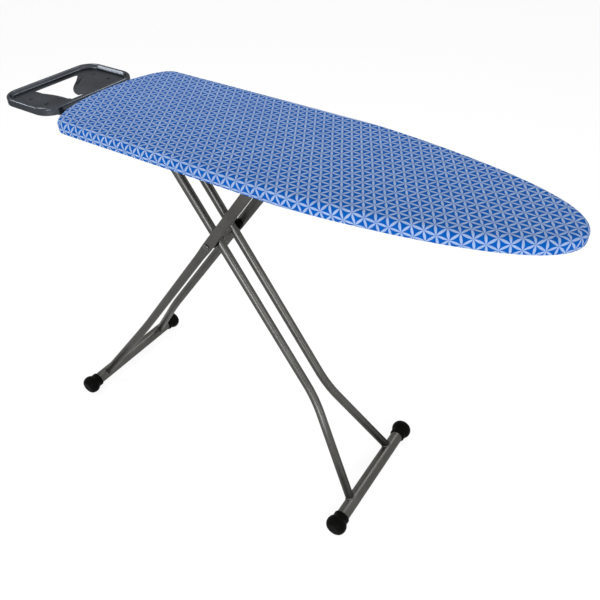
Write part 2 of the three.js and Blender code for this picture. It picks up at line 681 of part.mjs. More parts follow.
function makeGrip() {
  const half = GRIP_LENGTH / 2;
  const tip = GRIP_RADIUS * 0.6;
  const waist = GRIP_RADIUS * 0.92;
  const round = GRIP_RADIUS / 2;
  const profile = [
    [0, -half], [tip, -half], [GRIP_RADIUS, round - half], [waist, 0],
    [GRIP_RADIUS, half - round], [tip, half], [0, half],
  ];
  const grip = turnedY(profile, 0, 0, 16).rotateZ(-Math.PI / 2).translate(HANDLE_X, GRIP_Y, LEVER_Z);
  const slotX = ARM_TIP_HALF + GAP;
  const slotZ = COMB_THICKNESS / 2 + GAP;
  const slot = boxBetween(
    HANDLE_X - slotX, HANDLE_X + slotX, GRIP_Y - GAP, GRIP_Y + LEVER_ARM, LEVER_Z - slotZ, LEVER_Z + slotZ,
  );
  return cut(grip, slot);
}

class SpringLine extends THREE.Curve {
  getPoint(t) {
    const angle = 2 * Math.PI * SPRING_TURNS * t;
    const radius = PIN_BORE + SPRING_WIRE / 2 + GAP;
    const x = BEARING_END_X + SPRING_WIRE / 2 + 2 * GAP + (SPRING_LENGTH - SPRING_WIRE) * t;
    return new THREE.Vector3(x, LEVER_Y + radius * Math.cos(angle), LEVER_Z + radius * Math.sin(angle));
  }
}

function makeLeverSpring() {
  const wire = new THREE.Shape();
  wire.absarc(0, 0, SPRING_WIRE / 2, 0, 2 * Math.PI, false);
  return new THREE.ExtrudeGeometry(wire, {
    steps: SPRING_TURNS * 10,
    extrudePath: new SpringLine(),
    bevelEnabled: false,
    curveSegments: 3,
  });
}

// ---------------------------------------------------------------- iron rest

// A rectangle with round corners, centred on the iron rest.
function restShape(inset) {
  const halfX = REST_LENGTH / 2 - inset;
  const halfY = REST_WIDTH / 2 - inset;
  const radius = REST_CORNER - inset;
  const shape = new THREE.Shape();
  shape.absarc(halfX - radius, halfY - radius, radius, 0, Math.PI / 2, false);
  shape.absarc(-halfX + radius, halfY - radius, radius, Math.PI / 2, Math.PI, false);
  shape.absarc(-halfX + radius, -halfY + radius, radius, Math.PI, Math.PI * 1.5, false);
  shape.absarc(halfX - radius, -halfY + radius, radius, Math.PI * 1.5, Math.PI * 2, false);
  return shape;
}

// The opening in the floor, between a shallow near tongue and a deep far one.
function restOpening() {
  const halfX = REST_LENGTH / 2 - REST_RIM_WIDTH;
  const halfY = REST_WIDTH / 2 - REST_RIM_WIDTH;
  const at = (x, y) => new THREE.Vector2(x * halfX, y * halfY);
  const near = new THREE.QuadraticBezierCurve(at(-0.72, -0.5), at(0.11, -0.28), at(0.75, -0.36));
  const far = new THREE.CubicBezierCurve(at(0.75, -0.08), at(0.13, -0.17), at(-0.29, 0.22), at(-0.61, 0.48));
  const corner = new THREE.QuadraticBezierCurve(at(-0.61, 0.48), at(-0.71, 0.52), at(-0.72, 0.47));
  return new THREE.Shape([...near.getPoints(7), ...far.getPoints(8), ...corner.getPoints(4).slice(1)]);
}

function restHoles() {
  const holes = [];
  for (const side of [-1, 1]) {
    for (const end of [-1, 1]) {
      const hole = new THREE.Shape();
      hole.absarc(end * REST_HOLE_SPACING / 2, side * REST_HOLE_Y, REST_HOLE_RADIUS, 0, 2 * Math.PI, false);
      holes.push(hole);
    }
  }
  return holes;
}

function rivetPlaces() {
  return [[-1, -1], [1, -1], [-1, 1], [1, 1]].map(([end, side]) => ({
    name: `rest_rivet_${side < 0 ? "near" : "far"}_${end < 0 ? "outer" : "inner"}`,
    x: REST_CENTRE_X + end * REST_HOLE_SPACING / 2,
    y: side * REST_ARM_Y,
  }));
}

function rivetBores() {
  const radius = RIVET_RADIUS + GAP;
  return rivetPlaces().map(({ x, y }) => {
    const bore = new THREE.CylinderGeometry(radius, radius, 2 * REST_DEPTH, 12);
    return bore.rotateX(Math.PI / 2).translate(x, y, REST_FLOOR);
  });
}

// A pressed tray: a rolled rim round a sunk floor, open underneath.
function makeRest() {
  const bottom = REST_TOP - REST_DEPTH;
  const hollow = restShape(SHEET);
  hollow.holes.push(restShape(REST_RIM_WIDTH - SHEET));
  const pressing = cut(
    slab(restShape(0), bottom - TRIM, REST_TOP, REST_EDGE),
    belowBox(bottom),
    slab(restShape(REST_RIM_WIDTH), REST_FLOOR, REST_TOP + TRIM, REST_FLOOR_EDGE, 2),
    slab(restShape(SHEET), bottom - TRIM, REST_FLOOR - SHEET),
    slab(hollow, bottom - TRIM, REST_TOP - SHEET, REST_FLOOR_EDGE, 2),
    slab(restOpening(), bottom, REST_TOP),
    ...restHoles().map((hole) => slab(hole, bottom, REST_TOP)),
  );
  return cut(pressing.translate(REST_CENTRE_X, 0, 0), ...rivetBores());
}

// A cranked strap from under the rest's floor to under the tail channel.
function makeRestArm(side) {
  const start = REST_CENTRE_X - REST_HOLE_SPACING / 2 - REST_ARM_PAST_RIVET;
  const floorEdge = REST_CENTRE_X + REST_LENGTH / 2 - REST_RIM_WIDTH - 4;
  const end = TAIL_CHANNEL_X + CHANNEL_WIDTH / 2;
  const high = REST_FLOOR - SHEET - GAP;
  const low = Math.min(COVER_BOTTOM, REST_TOP - REST_DEPTH) - GAP;
  const channel = CHANNEL_BOTTOM - GAP;
  const top = [
    [start, high], [floorEdge - REST_ARM_CRANK, high], [floorEdge, low],
    [REST_ARM_REACH - REST_ARM_CRANK, low], [REST_ARM_REACH, channel], [end, channel],
  ];
  const under = top.map(([x, z]) => [x, z - REST_ARM_THICKNESS]).reverse();
  const y = side * REST_ARM_Y;
  const strap = acrossY(polygon(...top, ...under), y - REST_ARM_WIDTH / 2, y + REST_ARM_WIDTH / 2);
  return cut(strap, ...rivetBores());
}

function makeRivet() {
  const top = REST_FLOOR + GAP;
  const bottom = REST_FLOOR - SHEET - REST_ARM_THICKNESS - 2 * GAP;
  const head = 2 * RIVET_RADIUS;
  const shoulder = head - RIVET_HEAD_RIM / 2;
  const profile = [
    [0, bottom - RIVET_HEAD_HEIGHT], [shoulder, bottom - RIVET_HEAD_RIM],
    [head, bottom], [RIVET_RADIUS, bottom],
    [RIVET_RADIUS, top], [head, top], [shoulder, top + RIVET_HEAD_RIM], [0, top + RIVET_HEAD_HEIGHT],
  ];
  const points = profile.map(([radius, z]) => new THREE.Vector2(radius, z));
  return new THREE.LatheGeometry(points, 12).rotateX(Math.PI / 2);
}

// ---------------------------------------------------------------- assembly

const board = new THREE.Group();
const legA = new THREE.Group();
const legB = new THREE.Group();
const slider = new THREE.Group();
const lever = new THREE.Group();
const ironRest = new THREE.Group();

function add(group, name, geometry, material) {
  const mesh = new THREE.Mesh(geometry, material);
  mesh.name = name;
  group.add(mesh);
  return mesh;
}

add(board, "cover", makeCover(), coverCloth);
add(board, "pad", makePad(), padFelt);
add(board, "deck", makeDeck(), steel);
add(board, "rim_frame", makeRim(), steel);
add(board, "tail_channel", makeChannel(TAIL_CHANNEL_X), steel);
add(board, "rear_channel", makeChannel(REAR_CHANNEL_X), steel);
add(board, "front_channel", makeChannel(FRONT_CHANNEL_X), steel);
add(board, "nose_channel", makeChannel(NOSE_CHANNEL_X), steel);
add(board, "hinge_pin", makeHingePin(), steel);
add(legA, "leg_a_hinge_tube", makeHingeTube(), legPaint);
add(legA, "leg_a_cross_sleeve", makeCrossSleeve(), legPaint);
add(legA, "leg_a_foot_bar", makeFootBar(A_FOOT_X), legPaint);
add(legB, "leg_b_foot_bar", makeFootBar(B_FOOT_X), legPaint);
add(legB, "leg_b_top_rod", makeTopRod(), steel);
add(legB, "cross_pin", makeCrossPin(), steel);

for (const [suffix, side] of [["near", -1], ["far", 1]]) {
  add(board, `rail_${suffix}`, makeRail(side), steel);
  add(board, `hinge_ear_${suffix}`, makeHingeEar(side), steel);
  add(legA, `leg_a_tube_${suffix}`, makeTubeA(side), legPaint);
  add(legA, `leg_a_cap_${suffix}`, makeCap(A_FOOT_X, side), blackPlastic);
  add(legB, `leg_b_tube_${suffix}`, makeTubeB(side), legPaint);
  add(legB, `leg_b_cap_${suffix}`, makeCap(B_FOOT_X, side), blackPlastic);
  add(legB, `cross_spacer_${suffix}`, makeSpacer(side), blackPlastic);
  add(slider, `slide_shoe_${suffix}`, makeShoe(side), blackPlastic);
  add(ironRest, `rest_arm_${suffix}`, makeRestArm(side), steel);
}

add(lever, "lever_bearing_rear", makeLeverBearing(REAR_CHANNEL_X, -1), steel);
add(lever, "lever_bearing_front", makeLeverBearing(BEARING_END_X, -1), steel);
add(lever, "lever_bar", makeLeverBar(), steel);
add(lever, "lever_comb", makeComb(), steel);
add(lever, "lever_arm", makeLeverArm(), steel);
add(lever, "lever_grip", makeGrip(), blackPlastic);
add(lever, "lever_spring", makeLeverSpring(), steel);

add(ironRest, "iron_rest", makeRest(), restSteel);
for (const { name, x, y } of rivetPlaces()) {
  add(ironRest, name, makeRivet(), restSteel).position.set(x, y, 0);
}

const ironingBoard = new THREE.Group();
ironingBoard.add(board, legA, legB, slider, lever, ironRest);
ironingBoard.position.x = -MIDDLE_X;

export default ironingBoard;
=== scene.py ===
"""Looks for a folding ironing board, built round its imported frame.

Lengths are in metres. +X runs from the iron rest to the nose, the near side is -Y and +Z is up.
"""

import json
import math

import bmesh
import bpy
from mathutils import Matrix, Vector, noise
from mathutils.geometry import delaunay_2d_cdt, interpolate_bezier


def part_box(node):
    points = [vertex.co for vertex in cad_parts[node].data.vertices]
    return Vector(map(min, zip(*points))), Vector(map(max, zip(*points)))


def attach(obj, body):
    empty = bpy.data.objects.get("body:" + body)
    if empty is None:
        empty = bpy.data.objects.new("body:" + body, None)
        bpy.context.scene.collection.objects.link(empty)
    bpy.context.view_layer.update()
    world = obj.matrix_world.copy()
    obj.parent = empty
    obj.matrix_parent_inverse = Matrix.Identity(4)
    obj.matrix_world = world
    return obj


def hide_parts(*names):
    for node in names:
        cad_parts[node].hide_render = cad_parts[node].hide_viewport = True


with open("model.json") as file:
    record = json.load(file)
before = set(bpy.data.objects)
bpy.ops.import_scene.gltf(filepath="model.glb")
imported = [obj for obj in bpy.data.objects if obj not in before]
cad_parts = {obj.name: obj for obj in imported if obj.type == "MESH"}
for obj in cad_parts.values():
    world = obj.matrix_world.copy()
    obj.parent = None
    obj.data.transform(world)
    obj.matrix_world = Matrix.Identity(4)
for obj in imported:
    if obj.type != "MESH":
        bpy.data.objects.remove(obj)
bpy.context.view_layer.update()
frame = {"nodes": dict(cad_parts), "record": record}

# ---------------------------------------------------------------- sizes

# Board outline: the elliptical tail end, the straight sides and the curved nose.
TAIL_LENGTH = 0.068
NOSE_LENGTH = 0.493
NOSE_TAPER = 0.0065  # how much nearer the middle line a side lies where the nose starts
NOSE_REACH = 0.025
NOSE_BLUNTNESS = 0.746
OUTLINE_POINTS = 170  # on each side

# Cover.
CLOTH = 0.0012
TOP_ROUNDING = 0.0116
HEM_ROUNDING = 0.005
HEM_WIDTH = 0.021  # under the board, from its edge inwards
CORD_RADIUS = 0.0022
WRINKLE = 0.0008
PUCKER = 0.0011
PUCKER_PITCH = 0.015
PUCKER_REACH = 0.030  # from the top, along the cloth, to full depth
PUCKER_SHRINK = 0.35  # how far a pucker pulls the cloth in, as a share of its depth
MERGE = 0.00001  # points nearer than this become one
STAR_PITCH = 0.0219  # between the middles of neighbouring stars
STAR_SHIFT = (0.001, 0.0025)
PETAL_SHARE = 0.8  # petal width as a share of that of crossing circles
PETAL_EDGE = (-0.012, 0.018)  # where the print fades in, in star pitches from the petal's edge
PRINT_DRIFT = 0.0035
THREAD_PITCH = 0.00055

# Pad, under the cover.
PAD_INSET = 0.0024
PAD_ROUNDING = 0.009
PAD_FOOT = 0.0025  # how far the underside lies inside the pad's edge

# Legs.
TUBE = 0.022
OVAL_WIDTH = 0.018
OVAL_DEPTH = 0.025
OVAL_ENDS = 0.012  # below the crossing, where the oval starts to turn round
ROUND_STARTS = 0.055  # below the crossing, where the tube is round
TUBE_IN_BAR = 0.003  # how far a tube's end lies inside its foot bar's surface
TOP_PAST_ROD = 0.008  # from the top rod's axis to the end of leg B's tubes
ROUND_BELOW = 0.06  # in height below the crossing, where the tube's own path takes over
A_TOP_GAP = 0.006  # from the hinge pin's axis to the top of leg A's tubes
B_TIP = ((0.55, 0.0015), (0.85, 0.0012), (0.96, 0.0006))  # share of the oval, height past its end
BEND_HEIGHT = 0.250  # of the bend, above the floor
BEND_REACH = 0.045  # of the curve, to each side of the bend
A_HALF_SPACING = 0.0285
A_FOOT_HALF_SPACING = 0.104
B_HALF_SPACING = 0.062
B_FOOT_HALF_SPACING = 0.119
WELD = 0.0021
HINGE_WELD = 0.0008  # slim, to fold clear of the tail channel
BAR_WALL = 0.0015
BAR_RECESS = 0.004

# Caps on the foot bars.
CAP_LENGTH = 0.045
COLLAR_LENGTH = 0.015
COLLAR = 0.0205
BALL = 0.0265

# Iron rest.
SHEET = 0.0013
REST_CORNER = 0.044
REST_CREST = 0.0055  # the crest's outer rounding
REST_SHOULDER = 0.0036  # the crest's inner rounding
REST_FLOOR_DROP = 0.009
REST_RIM_WIDTH = 0.011  # the opening is given in shares of the area inside it
REST_FILLET = 0.0034
REST_FLOOR_INSET = 0.0136
NEAR_CURL = (0.008, 0.0035)  # width and depth of the near tongue's turned-down edge
FAR_CURL = (0.021, 0.0055)
NEAR_CURL_END = -0.018
TONGUE_MIDDLE = 0.002
TONGUE_FADE = (0.034, 0.052)
FLOOR_STEP = 0.003  # between the points of the rest's floor
HOLE_COLLAR = ((0.0003, 0.0004), (0.0002, 0.0036))  # inwards and down, step by step
REST_HOLE = 0.0032
REST_HOLE_X = 0.027
REST_HOLE_Y = 0.060

# ---------------------------------------------------------------- places, from the frame


def middle(node):
    """The centre of a node's box."""
    low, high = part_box(node)
    return (low + high) / 2


COVER_LOW, COVER_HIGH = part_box("cover")
BOARD_LENGTH = COVER_HIGH.x - COVER_LOW.x
HALF_WIDTH = COVER_HIGH.y
HINGE = middle("leg_a_hinge_tube")
CROSSING = middle("cross_pin")
TOP_ROD = middle("leg_b_top_rod")
FOOT_A = middle("leg_a_foot_bar")
FOOT_B = middle("leg_b_foot_bar")
BAR_LOW, BAR_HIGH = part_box("leg_a_foot_bar")
BAR_RADIUS = (BAR_HIGH.z - BAR_LOW.z) / 2
BAR_HALF = BAR_HIGH.y
CAP_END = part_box("leg_a_cap_far")[1].y
CAP_MOUTH = CAP_END - CAP_LENGTH
REST_LOW, REST_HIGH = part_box("iron_rest")
REST_CENTRE = (REST_LOW + REST_HIGH) / 2
REST_HALF = (REST_HIGH - REST_LOW) / 2

# ---------------------------------------------------------------- shader helpers


def srgb(red, green, blue):
    """A display colour, 0 to 255, as the linear colour a shader takes."""
    def linear(value):
        value /= 255
        return value / 12.92 if value <= 0.04045 else ((value + 0.055) / 1.055) ** 2.4
    return (linear(red), linear(green), linear(blue), 1.0)


class Shader:
    """A material whose nodes are made by short calls."""

    def __init__(self, name):
        self.material = bpy.data.materials.new(name)
        self.material.use_nodes = True
        self.tree = self.material.node_tree
        self.surface = self.tree.nodes["Principled BSDF"]

    def node(self, kind, inputs=None, **settings):
        made = self.tree.nodes.new(kind)
        for key, value in settings.items():
            setattr(made, key, value)
        for key, value in (inputs or {}).items():
            self.feed(made.inputs[key], value)
        return made

    def feed(self, socket, value):
        if isinstance(value, bpy.types.NodeSocket):
            self.tree.links.new(value, socket)
        else:
            socket.default_value = value

    def math(self, operation, *values):
        made = self.node("ShaderNodeMath", operation=operation)
        for socket, value in zip(made.inputs, values):
            self.feed(socket, value)
        return made.outputs[0]

    def dot(self, vector, direction):
        made = self.node("ShaderNodeVectorMath", operation="DOT_PRODUCT")
        self.feed(made.inputs[0], vector)
        self.feed(made.inputs[1], direction)
        return made.outputs["Value"]

    def place(self, scale=(1, 1, 1)):
        """The point's own place in the frame, stretched."""
        where = self.node("ShaderNodeTexCoord").outputs["Object"]
        made = self.node("ShaderNodeVectorMath", operation="MULTIPLY")
        self.feed(made.inputs[0], where)
        self.feed(made.inputs[1], scale)
        return made.outputs[0]

    def noise(self, scale, detail=3.0, stretch=(1, 1, 1), roughness=0.55):
        return self.node("ShaderNodeTexNoise", {
            "Vector": self.place(stretch), "Scale": scale, "Detail": detail, "Roughness": roughness,
        }).outputs["Fac"]

    def spread(self, value, low, high, start=0.3, end=0.7):
        """A value from start to end, as one from low to high."""
        return self.node("ShaderNodeMapRange", {
            "Value": value, "From Min": start, "From Max": end, "To Min": low, "To Max": high,
        }).outputs["Result"]

    def mix(self, amount, first, second):
        made = self.node("ShaderNodeMix", data_type="RGBA")
        self.feed(made.inputs["Factor"], amount)
        self.feed(made.inputs[6], first)
        self.feed(made.inputs[7], second)
        return made.outputs[2]

    def bump(self, height, distance, strength=1.0, below=None):
        inputs = {"Height": height, "Distance": distance, "Strength": strength}
        if below is not None:
            inputs["Normal"] = below
        return self.node("ShaderNodeBump", inputs).outputs["Normal"]

    def set(self, **values):
        for key, value in values.items():
            self.feed(self.surface.inputs[key.replace("_", " ")], value)
        return self.material


# ---------------------------------------------------------------- materials


def cloth_material():
    """Printed cotton: pale lens petals that meet in six-pointed stars, on blue."""
    s = Shader("cover_cloth")
    flat = s.node("ShaderNodeAttribute", attribute_name="flat").outputs["Vector"]
    moved = s.node("ShaderNodeVectorMath", operation="ADD")
    s.feed(moved.inputs[0], flat)
    s.feed(moved.inputs[1], (*STAR_SHIFT, 0))
    wobble = s.node("ShaderNodeTexNoise", {"Vector": flat, "Scale": 9.0, "Detail": 1.0}).outputs["Color"]
    drift = s.node("ShaderNodeVectorMath", operation="SCALE")
    s.feed(drift.inputs[0], wobble)
    s.feed(drift.inputs["Scale"], PRINT_DRIFT)
    drawn = s.node("ShaderNodeVectorMath", operation="ADD")
    s.feed(drawn.inputs[0], moved.outputs[0])
    s.feed(drawn.inputs[1], drift.outputs[0])
    row = math.sqrt(3) / 2
    petals = None
    for angle in (0, math.pi / 3, 2 * math.pi / 3):
        along = (math.cos(angle) / STAR_PITCH, math.sin(angle) / STAR_PITCH, 0)
        across = (-math.sin(angle) / STAR_PITCH, math.cos(angle) / STAR_PITCH, 0)
        u = s.dot(drawn.outputs[0], along)
        v = s.dot(drawn.outputs[0], across)
        line = s.math("ROUND", s.math("DIVIDE", v, row))
        aside = s.math("ABSOLUTE", s.math("SUBTRACT", v, s.math("MULTIPLY", line, row)))
        step = s.math("SUBTRACT", s.math("FRACT", s.math("SUBTRACT", u, s.math("DIVIDE", line, 2.0))), 0.5)
        arc = s.math("SQRT", s.math("SUBTRACT", 1.0, s.math("MULTIPLY", step, step)))
        half = s.math("MULTIPLY", s.math("SUBTRACT", arc, row), PETAL_SHARE)
        petal = s.spread(s.math("SUBTRACT", half, aside), 0.0, 1.0, *PETAL_EDGE)
        petals = petal if petals is None else s.math("MAXIMUM", petals, petal)
    fade = s.spread(s.noise(14.0, 4.0), 0.86, 1.0)
    blotch = s.noise(60.0, 4.0)
    blue = s.mix(blotch, srgb(0, 71, 146), srgb(0, 90, 178))
    pale = s.mix(blotch, srgb(140, 161, 197), srgb(166, 184, 215))
    thread = 2 * math.pi / THREAD_PITCH
    warp = s.math("SINE", s.dot(flat, (thread, 0, 0)))
    weft = s.math("SINE", s.dot(flat, (0, thread, 0)))
    weave = s.math("MULTIPLY", warp, weft)
    slub = s.noise(900.0, 2.0, (1, 0.08, 1))
    height = s.math("ADD", s.math("MULTIPLY", weave, 0.5), slub)
    crease = s.bump(s.noise(38.0, 5.0, (0.35, 1, 1)), 0.0012, 0.35)
    return s.set(
        Base_Color=s.mix(s.math("MULTIPLY", petals, fade), blue, pale),
        Roughness=s.spread(blotch, 0.72, 0.86),
        Specular_IOR_Level=0.06,
        Normal=s.bump(height, 0.00009, 0.6, crease),
    )


def felt_material():
    s = Shader("pad_felt")
    tuft = s.noise(420.0, 6.0)
    return s.set(
        Base_Color=s.mix(s.noise(70.0, 5.0), srgb(206, 201, 188), srgb(234, 230, 220)),
        Roughness=0.95,
        Sheen_Weight=0.3,
        Specular_IOR_Level=0.15,
        Normal=s.bump(tuft, 0.0006, 0.8),
    )


def paint_material(name, dark, light, rough, metallic, edge=0.55):
    """Satin metallic paint with an orange-peel skin, specks and faint rubbing."""
    s = Shader(name)
    speck = s.noise(1500.0, 2.0)
    cloud = s.noise(16.0, 4.0)
    tone = s.math("ADD", s.math("MULTIPLY", speck, 0.5), s.math("MULTIPLY", cloud, 0.5))
    rubbed = s.spread(s.noise(45.0, 6.0, (1, 1, 0.2)), 0.0, 1.0, 0.66, 0.78)
    base = s.mix(s.spread(tone, 0.0, 1.0), dark, light)
    brighter = tuple(min(1.0, value * 1.3) for value in light[:3]) + (1.0,)
    peel = s.bump(s.noise(520.0, 2.0), 0.000015, 0.6)
    return s.set(
        Base_Color=s.mix(s.math("MULTIPLY", rubbed, 0.35), base, brighter),
        Metallic=metallic,
        Roughness=s.spread(cloud, rough - 0.05, rough + 0.07),
        Specular_IOR_Level=0.25,
        Specular_Tint=(edge, edge, edge, 1),
        Coat_Weight=0.06,
        Coat_Roughness=0.2,
        Normal=peel,
    )


def zinc_material():
    s = Shader("pin_steel")
    streak = s.noise(700.0, 3.0, (0.12, 1, 1))
    bloom = s.noise(90.0, 5.0)
    return s.set(
        Base_Color=s.mix(bloom, srgb(66, 66, 65), srgb(102, 102, 100)),
        Metallic=1.0,
        Roughness=s.spread(bloom, 0.26, 0.42),
        Normal=s.bump(streak, 0.00004, 0.6),
    )


def plastic_material():
    s = Shader("black_plastic")
    grain = s.noise(1300.0, 3.0)
    scuff = s.spread(s.noise(60.0, 6.0, (1, 0.3, 1)), 0.0, 1.0, 0.6, 0.75)
    return s.set(
        Base_Color=s.mix(s.math("MULTIPLY", scuff, 0.5), srgb(3, 3, 2), srgb(16, 16, 14)),
        Roughness=s.spread(grain, 0.5, 0.62),
        Specular_IOR_Level=0.04,
        Normal=s.bump(grain, 0.00006, 0.8),
    )


MATERIALS = {
    "cover_cloth": cloth_material(),
    "pad_felt": felt_material(),
    "leg_paint": paint_material("leg_paint", srgb(66, 65, 62), srgb(92, 91, 88), 0.36, 0.85),
    "rest_steel": paint_material("rest_steel", srgb(54, 57, 61), srgb(78, 82, 88), 0.24, 0.95, 0.45),
    "frame_steel": paint_material("frame_steel", srgb(104, 106, 108), srgb(134, 136, 138), 0.42, 0.6),
    "pin_steel": zinc_material(),
    "black_plastic": plastic_material(),
}

# ---------------------------------------------------------------- mesh helpers


def piece_from(bm, name, slot, body, *nodes):
    """A smooth piece with its material, which rides on a body and stands for CAD nodes."""
    mesh = bpy.data.meshes.new(name)
    bm.to_mesh(mesh)
    bm.free()
    mesh.materials.append(MATERIALS[slot])
    mesh.polygons.foreach_set("use_smooth", [True] * len(mesh.polygons))
    piece = bpy.data.objects.new(name, mesh)
    bpy.context.scene.collection.objects.link(piece)
    return enrol(piece, slot, body, *nodes)


def enrol(piece, slot, body, *nodes):
    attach(piece, body)
    if nodes:
        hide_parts(*nodes)
    return piece


def loft(rings, cap_start=False, cap_end=False):
    """A surface through closed rings that all have as many points."""
    bm = bmesh.new()
    rows = [[bm.verts.new(point) for point in ring] for ring in rings]
    for first, second in zip(rows, rows[1:]):
        for i in range(len(first)):
            j = (i + 1) % len(first)
            bm.faces.new((first[i], first[j], second[j], second[i]))
    if cap_start:
        bm.faces.new(rows[0])
    if cap_end:
        bm.faces.new(rows[-1])
    bmesh.ops.recalc_face_normals(bm, faces=bm.faces)
    return bm


def modifier(piece, kind, **settings):
    made = piece.modifiers.new(kind.lower(), kind)
    for key, value in settings.items():
        setattr(made, key, value)
    return made


def arc(start, end, count):
    """Angles in degrees from start to end, as radians."""
    return [math.radians(start + (end - start) * i / count) for i in range(count + 1)]


# ---------------------------------------------------------------- board cover and pad


def half_outline():
    """Close points along the far edge from the tail end to the nose."""
    end = Vector((COVER_LOW.x + BOARD_LENGTH, 0))
    tail_middle = COVER_LOW.x + TAIL_LENGTH
    points = [
        Vector((tail_middle - TAIL_LENGTH * math.cos(t), HALF_WIDTH * math.sin(t)))
        for t in arc(0, 90, 90)
    ]
    nose_half = HALF_WIDTH - NOSE_TAPER
    nose_start = Vector((end.x - NOSE_LENGTH, nose_half))
    slope = -NOSE_TAPER / (nose_start.x - tail_middle)
    first_arm = nose_start + NOSE_REACH * Vector((1, slope))
    last_arm = Vector((end.x, NOSE_BLUNTNESS * HALF_WIDTH))
    nose = interpolate_bezier(nose_start, first_arm, last_arm, end, 160)
    return points + [Vector(point[:2]) for point in nose]


def evenly(points, count):
    """The same line as points an even distance apart."""
    steps = [(b - a).length for a, b in zip(points, points[1:])]
    total = sum(steps)
    found = []
    index, passed = 0, 0.0
    for i in range(count + 1):
        target = total * i / count
        while index < len(steps) - 1 and passed + steps[index] < target:
            passed += steps[index]
            index += 1
        found.append(points[index].lerp(points[index + 1], (target - passed) / steps[index]))
    return found


def board_edge():
    """Points all round the board's edge, each with its direction outwards."""
    far = evenly(half_outline(), OUTLINE_POINTS)
    near = [Vector((point.x, -point.y)) for point in reversed(far[1:-1])]
    loop = far + near
    edge = []
    for i, point in enumerate(loop):
        along = (loop[(i + 1) % len(loop)] - loop[i - 1]).normalized()
        edge.append((point, Vector((-along.y, along.x))))
    return edge


EDGE = board_edge()


def spine_point(point, inset):
    """Where the surface from one edge point meets the middle line."""
    reach = HALF_WIDTH - inset
    return Vector((min(max(point.x, COVER_LOW.x + reach * 0.5), COVER_HIGH.x - reach * 1.5), 0))


def inset_ring(inset, z):
    return [Vector((*(point - normal * inset), z)) for point, normal in EDGE]


def top_rings(inset, z, count):
    """Rings from the middle line of a flat top out to its edge."""
    rings = []
    for step in range(count):
        share = step / count
        rings.append([
            Vector((*spine_point(point, inset).lerp(point - normal * inset, share), z))
            for point, normal in EDGE
        ])
    return rings


def cover_profile():
    """Inset, height and cloth length past the flat top, from the top's edge to the hem's cord."""
    top, bottom = COVER_HIGH.z, COVER_LOW.z + CORD_RADIUS / 2
    profile = [
        (TOP_ROUNDING * (1 - math.sin(t)), top - TOP_ROUNDING * (1 - math.cos(t)), TOP_ROUNDING * t)
        for t in arc(0, 90, 9)
    ]
    length = TOP_ROUNDING * math.pi / 2
    side = top - TOP_ROUNDING - bottom - HEM_ROUNDING
    for step in range(1, 4):
        profile.append((0, top - TOP_ROUNDING - side * step / 4, length + side * step / 4))
    length += side
    for t in arc(0, 90, 5):
        inset = HEM_ROUNDING * (1 - math.cos(t))
        profile.append((inset, bottom + HEM_ROUNDING * (1 - math.sin(t)), length + HEM_ROUNDING * t))
    length += HEM_ROUNDING * math.pi / 2
    under = HEM_WIDTH - HEM_ROUNDING - 2 * CORD_RADIUS
    for step in range(1, 5):
        profile.append((HEM_ROUNDING + under * step / 4, bottom, length + under * step / 4))
    length += under
    for t in arc(0, 250, 7)[1:]:
        inset = HEM_WIDTH - 2 * CORD_RADIUS + CORD_RADIUS * math.sin(t)
        profile.append((inset, bottom - CORD_RADIUS * (1 - math.cos(t)) / 2, length + CORD_RADIUS * t))
    return profile


def wrinkle(x, y):
    """Soft hollows in the stretched cloth, never above its top."""
    broad = noise.noise(Vector((x * 9, y * 16, 1.7)))
    fine = noise.noise(Vector((x * 26 + y * 14, y * 38 - x * 9, 5.1)))
    return -WRINKLE * (0.5 + 0.55 * broad + 0.35 * fine)


def make_cover():
    rings = top_rings(TOP_ROUNDING, COVER_HIGH.z, 16)
    flats = [[Vector((point.x, point.y, 0)) for point in ring] for ring in rings]
    lengths = [0.0] * len(rings)
    for inset, z, length in cover_profile():
        rings.append(inset_ring(inset, z))
        lengths.append(length)
        flats.append([
            Vector((*(point + normal * (length - TOP_ROUNDING)), 0)) for point, normal in EDGE
        ])
    spacing = (EDGE[40][0] - EDGE[39][0]).length
    for ring, length in zip(rings, lengths):
        hem = min(max(length - TOP_ROUNDING, 0) / PUCKER_REACH, 1)
        for i, point in enumerate(ring):
            point.z += wrinkle(point.x, point.y) * (1 - hem)
            shift = 4 * noise.noise(Vector((i / 9, 0, 0)))
            gather = math.sin(2 * math.pi * i * spacing / PUCKER_PITCH + shift)
            uneven = 0.6 + 0.4 * noise.noise(Vector((i / 5, 3, 0)))
            depth = PUCKER * hem * hem * (0.5 + 0.5 * gather) * uneven
            point.z += depth
            shrink = PUCKER_SHRINK * depth
            point.x -= EDGE[i][1].x * shrink
            point.y -= EDGE[i][1].y * shrink
    bm = loft(rings)
    layer = bm.verts.layers.float_vector.new("flat")
    bm.verts.ensure_lookup_table()
    for vert, place in zip(bm.verts, (point for ring in flats for point in ring)):
        vert[layer] = place
    bmesh.ops.remove_doubles(bm, verts=bm.verts, dist=MERGE)
    piece = piece_from(bm, "printed_cover", "cover_cloth", "board", "cover")
    modifier(piece, "SUBSURF", levels=1, render_levels=1)
    modifier(piece, "SOLIDIFY", thickness=CLOTH, offset=-1)
    cut = [point + normal * (max(lengths) - TOP_ROUNDING) for point, normal in EDGE]
    length = max(p.x for p in cut) - min(p.x for p in cut)


